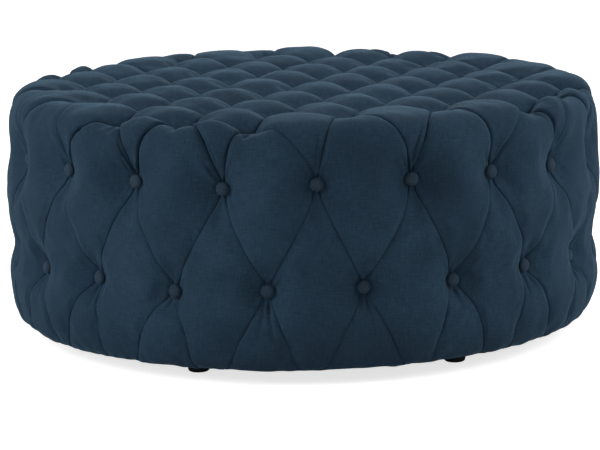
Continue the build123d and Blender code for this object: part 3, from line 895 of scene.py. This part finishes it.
buttonRow("fieldButtons", [s for s in spots if s[0] == "T" and not onRim(*s[1:])], "top_field_buttons")
buttonRow("rimButtons", rimSpots, "top_rim_buttons")
buttonRow("upperButtons", [("U", k) for k in range(columns)], "upper_row_buttons")
buttonRow("lowerButtons", [("L", k) for k in range(columns)], "lower_row_buttons")
print("buttons made")


# ---- turned pieces: a profile of radius and height about an upright axis
def circlePlace(at, radius, n, sides):
    turn = 2 * math.pi * n / sides
    return at[0] + radius * math.cos(turn), at[1] + radius * math.sin(turn)


def turnedPoints(profile, sides, at, points, faces, ring=False):
    first = len(points)
    for radius, height in profile:
        points.extend((*circlePlace(at, radius, n, sides), height) for n in range(sides))
    rows = len(profile)
    for row in range(rows if ring else rows - 1):
        joinRows(faces, first + row * sides, first + (row + 1) % rows * sides, sides)
    return first


def closeEnds(points, faces, first, sides, firstMiddle, lastMiddle):
    # fans from the first and last circles of a turned piece to a point on its axis
    last = len(points) - sides
    points += [firstMiddle, lastMiddle]
    for n in range(sides):
        m = (n + 1) % sides
        faces.append((first + m, first + n, len(points) - 2))
        faces.append((last + n, last + m, len(points) - 1))


# moulded foot: a bore for the screw's head, a flat tread with a rounded edge, a rim at the top
foot = {"sides": 56, "profile": [(4.7, 8.0), (4.7, 1.1), (5.2, 0.3), (6.2, 0.0), (12.8, 0.0), (14.4, 0.3),
                                 (15.9, 1.1), (16.9, 2.3), (17.4, 3.8), (18.0, 8.5), (18.9, 16.0),
                                 (19.3, 19.4), (19.1, 19.9), (19.3, 20.4), (20.0, 21.0), (20.0, 23.7),
                                 (19.5, 24.3), (2.5, 24.3), (2.5, 8.0)]}
footPlaces = []
for k in range(1, 7):
    footLow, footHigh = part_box(f"foot_{k}")
    footPlaces.append([(footLow[axis] + footHigh[axis]) / 2 / mm for axis in (0, 1)])
    points, faces = [], []
    turnedPoints(foot["profile"][::-1], foot["sides"], footPlaces[-1], points, faces, ring=True)
    piece = meshPiece(f"roundFoot{k}", points, faces, footFinish)
    crispEdges(piece)
    standFor(piece, f"foot_{k}")
print("feet made")

# pan-head screws with a cross recess, one in each foot
screw = {"sides": 32, "headRadius": 4.4, "headLow": 5.0, "headHigh": 8.0, "dome": 1.1,
         "rings": [0.3, 0.6, 0.9, 1.2, 1.5, 1.8, 2.1, 2.4, 2.8, 3.3, 3.8, 4.2],
         "edge": [(4.4, 6.5), (4.4, 7.7), (4.15, 8.0), (2.2, 8.0)],
         "crossArm": 0.55, "crossReach": 2.35, "crossDepth": 1.4,
         "thread": 1.6, "ridge": 2.15, "root": 1.7, "point": 4.0, "tipRadius": 0.25, "tipLength": 0.1}


def screwPoints(at, tip, points, faces):
    sides, bottom = screw["sides"], screw["headLow"]
    profile = [(r, bottom + screw["dome"] * (r / screw["headRadius"]) ** 3) for r in screw["rings"]]
    profile += screw["edge"]
    height, onRidge = screw["headHigh"], False
    while height < tip - screw["point"]:
        height += screw["thread"] / 2
        onRidge = not onRidge
        profile.append((screw["ridge" if onRidge else "root"], height))
    profile.append((screw["tipRadius"], tip - screw["tipLength"]))
    first = turnedPoints(profile, sides, at, points, faces)
    for n in range(first, first + len(screw["rings"]) * sides):
        x, y, z = points[n]
        across, reach = sorted((abs(x - at[0]), abs(y - at[1])))
        if across < screw["crossArm"] and reach < screw["crossReach"]:
            points[n] = (x, y, z + screw["crossDepth"])
    closeEnds(points, faces, first, sides, (*at, bottom + screw["crossDepth"]), (*at, tip))


points, faces = [], []
for at in footPlaces:
    screwPoints(at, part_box("foot_screws")[1][2] / mm, points, faces)
screws = meshPiece("footScrews", points, faces, screwFinish)
crispEdges(screws, 30)
standFor(screws, "foot_screws")
print("screws made")

# foam under the fibre: a disc on the deck and a band round the side, dimpled where the twines pull
foam = {"reach": 469.6, "edge": 5.0, "bevel": 1.5, "corner": 1.0, "ease": 0.2, "step": 12.0, "sides": 180,
        "dimple": 4.5, "dimpleReach": 17.0, "facing": 6.0, "bandLow": 31.0, "bandThickness": 20.0}


def dimpled(points, kinds, top=None):
    # pulled straight down from the top of the disc, or inward where no top is given
    points = np.array(points)
    for spot in spots:
        if spot[0] in kinds:
            way = outWay(spots[spot][1]) if top is None else upWay
            apart = points - placeOf(spot)
            aside = np.linalg.norm(apart - (apart @ way)[:, None] * way, axis=1)
            facing = points @ way > (foam["reach"] if top is None else top) - foam["facing"]
            pull = foam["dimple"] * np.exp(-(aside / foam["dimpleReach"]) ** 2) * facing
            points = points - pull[:, None] * way
    return points


def foamPiece(name, node, points, faces):
    piece = meshPiece(name, points, faces, foamFinish)
    crispEdges(piece, 50)
    standFor(piece, node)


def makeFoam():
    reach, edge, bevel, ease = foam["reach"], foam["edge"], foam["bevel"], foam["ease"]
    corner, step, sides = foam["corner"], foam["step"], foam["sides"]
    low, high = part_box("top_foam")
    bottom, top = low[2] / mm + ease, high[2] / mm - ease
    rings = list(np.arange(step, reach - edge, step))
    profile = [(r, bottom) for r in rings[::4]] + [(reach - corner, bottom), (reach, bottom + corner)]
    profile += [(reach, top - edge), (reach - bevel, top - bevel), (reach - edge, top)]
    profile += [(r, top) for r in rings[::-1]]
    points, faces = [], []
    turnedPoints(profile, sides, (0, 0), points, faces)
    closeEnds(points, faces, 0, sides, (0.0, 0.0, bottom), (0.0, 0.0, top))
    foamPiece("foamDisc", "top_foam", dimpled(points, "T", top), faces)
    bandLow, bandTop = foam["bandLow"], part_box("side_foam")[1][2] / mm - ease
    inner = reach - foam["bandThickness"]
    profile = [(inner, bandTop), (inner, bandLow), (reach - edge, bandLow), (reach - bevel, bandLow + bevel)]
    profile += [(reach, z) for z in np.arange(bandLow + edge, bandTop - edge, step)]
    profile += [(reach, bandTop - corner), (reach - corner, bandTop)]
    points, faces = [], []
    turnedPoints(profile, sides, (0, 0), points, faces, ring=True)
    foamPiece("foamBand", "side_foam", dimpled(points, "UL"), faces)


makeFoam()
print("foam made")

# dust cover: a disc of spun-bonded cloth with its edge turned in, stapled under the base, and sagging
# a little between the feet
dustSheet = {"radius": 458.0, "turnedIn": 12.0, "height": 24.6, "sag": 2.4, "ripple": 0.45,
             "rippleSize": 75.0, "sides": 168, "rings": 44, "footRoom": (21.0, 95.0),
             "roll": 0.3, "rollLift": 0.25, "lift": 0.5, "fullness": 0.8}


def dustHeight(x, y):
    free = np.clip(1 - (np.hypot(x, y) / dustSheet["radius"]) ** 2, 0, 1) ** dustSheet["fullness"]
    for at in footPlaces:
        free = free * smoothStep(np.hypot(x - at[0], y - at[1]), *dustSheet["footRoom"])
    ripple = softNoise(np.stack([x, y, 0 * x], -1), dustSheet["rippleSize"], 9)
    return dustSheet["height"] - free * (dustSheet["sag"] + dustSheet["ripple"] * ripple)


def makeDust():
    points, faces = [], []
    rim, sides, level = dustSheet["radius"], dustSheet["sides"], dustSheet["height"]
    rings = np.linspace(0, rim, dustSheet["rings"] + 1)[1:]
    turnedPoints([(r, 0.0) for r in rings], sides, (0, 0), points, faces)
    middle = len(points)
    points = np.array(points + [(0.0, 0.0, 0.0)])
    points[:, 2] = dustHeight(points[:, 0], points[:, 1])
    points = points.tolist()
    faces += [((n + 1) % sides, n, middle) for n in range(sides)]
    edge = middle - sides
    for radius, lift in ((rim + dustSheet["roll"], dustSheet["rollLift"]), (rim, dustSheet["lift"]),
                         (rim - dustSheet["turnedIn"], dustSheet["lift"])):
        nextEdge = len(points)
        points.extend((*circlePlace((0, 0), radius, n, sides), level + lift) for n in range(sides))
        joinRows(faces, edge, nextEdge, sides)
        edge = nextEdge
    return meshPiece("dustSheet", points, faces, dustFinish)


staple = {"reach": 447.0, "count": 72, "crown": 10.0, "leg": 5.0, "bend": 0.8, "wire": 0.5, "slant": 9.0,
          "corner": 0.3, "uneven": 0.12, "sunk": 0.8, "sides": 8}


def makeStaples():
    draw = random.Random(21)
    points, faces = [], []
    wire, sides, bend, halfCrown = staple["wire"], staple["sides"], staple["bend"], staple["crown"] / 2
    corner = staple["corner"] * bend
    path = [(-halfCrown, staple["leg"]), (-halfCrown, bend), (-halfCrown + corner, corner),
            (-halfCrown + bend, 0)]
    path += [(-x, z) for x, z in path[::-1]]
    for k in range(staple["count"]):
        turn = 2 * math.pi * (k + draw.uniform(-1, 1) * staple["uneven"]) / staple["count"]
        slant = turn + math.pi / 2 + math.radians(draw.uniform(-1, 1) * staple["slant"])
        middle = staple["reach"] * outWay(turn) + (dustSheet["height"] - wire * staple["sunk"]) * upWay
        ahead, aside = outWay(slant), -roundWay(slant)
        first = len(points)
        for n, (x, z) in enumerate(path):
            way = unit(np.array(path[min(n + 1, len(path) - 1)]) - np.array(path[max(n - 1, 0)]))
            outward = way[0] * upWay - way[1] * ahead
            for m in range(sides):
                turnWire = 2 * math.pi * m / sides
                points.append(middle + ahead * x + upWay * z
                              + wire * (outward * math.cos(turnWire) + aside * math.sin(turnWire)))
        for row in range(len(path) - 1):
            joinRows(faces, first + row * sides, first + (row + 1) * sides, sides)
        faces.append(tuple(first + m for m in range(sides - 1, -1, -1)))
        faces.append(tuple(len(points) - sides + m for m in range(sides)))
    return meshPiece("dustStaples", points, faces, screwFinish)


dust = makeDust()
standFor(dust, "dust_cover")
staples = makeStaples()
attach(staples, "root")
print("dust cover stapled")

# ---- finishes of the frame inside the cover; the nodes that pieces stand for don't show
frameFinishes = {"deck_board": plyFinish, "base_ring": plyFinish, "side_panel": panelFinish,
                 "deck_batten": pineFinish, "post_": pineFinish, "base_rail": pineFinish,
                 "_twines": twineFinish}
for name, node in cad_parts.items():
    fitting = [finish for part, finish in frameFinishes.items() if part in name]
    node.data.materials.clear()
    node.data.materials.append(fitting[0] if fitting else coverCloth)

# ---- studio: pale floor, soft lamps, white surround
studio = {"floor": (0.86, 0.86, 0.86), "floorReach": 30, "world": 0.31, "leftPower": 64.0,
          "rightPower": 64.0, "topPower": 47.0, "floorLift": 0.73}


def lamp(name, place, aim, size, power):
    light = bpy.data.lights.new(name, "AREA")
    light.size = size
    light.energy = power
    piece = bpy.data.objects.new(name, light)
    scene.collection.objects.link(piece)
    place = Matrix.Rotation(math.radians(view["azimuth"]), 3, "Z") @ Vector(place)
    piece.location = place
    piece.rotation_euler = (Vector(aim) - place).to_track_quat("-Z", "Y").to_euler()


lamp("leftLamp", (-3.2, -1.4, 1.9), (0, 0, 0.2), 2.0, studio["leftPower"])
lamp("rightLamp", (3.4, -0.3, 2.0), (0, 0, 0.2), 2.0, studio["rightPower"])
lamp("topLamp", (0.2, 2.6, 2.7), (0, 0, 0.4), 2.2, studio["topPower"])

# the world lights the scene dimly and is white where it is seen, mirrored or looked through
surround = bpy.data.worlds.new("surround")
scene.world = surround
surround.use_nodes = True
surround.node_tree.nodes.clear()
w = Nodes(surround.node_tree)
rays = w.node("ShaderNodeLightPath").outputs
seen = w.reckon("MAXIMUM", rays["Is Camera Ray"], rays["Is Glossy Ray"])
seen = w.reckon("MAXIMUM", seen, rays["Is Transmission Ray"])
dim = w.add("ShaderNodeBackground", {"Color": (1, 1, 1, 1), "Strength": studio["world"]})
white = w.add("ShaderNodeBackground", {"Color": (1, 1, 1, 1), "Strength": 1.0})
w.node("ShaderNodeOutputWorld", {0: w.add("ShaderNodeMixShader", {0: seen, 1: dim, 2: white})})

n = Finish("paleFloor")
seen = n.node("ShaderNodeLightPath").outputs["Is Camera Ray"]
glow = n.add("ShaderNodeEmission", {"Color": (1, 1, 1, 1), "Strength": studio["floorLift"]})
dark = n.add("ShaderNodeEmission", {"Color": (0, 0, 0, 1), "Strength": 0.0})
lift = n.add("ShaderNodeMixShader", {0: seen, 1: dark, 2: glow})
bright = n.add("ShaderNodeAddShader", {0: n.shader.outputs[0], 1: lift})
n.feed(n.tree.nodes["Material Output"], {"Surface": bright})
n.feed(n.shader, {"Base Color": (*studio["floor"], 1), "Roughness": 0.9, "Specular IOR Level": 0.0})
floorMesh = bpy.data.meshes.new("paleFloor")
reach = studio["floorReach"]
floorMesh.from_pydata([(-reach, -reach, 0), (reach, -reach, 0), (reach, reach, 0), (-reach, reach, 0)], [],
                      [(0, 1, 2, 3)])
floorMesh.materials.append(n.material)
floor = bpy.data.objects.new("paleFloor", floorMesh)
scene.collection.objects.link(floor)
print("studio lit")
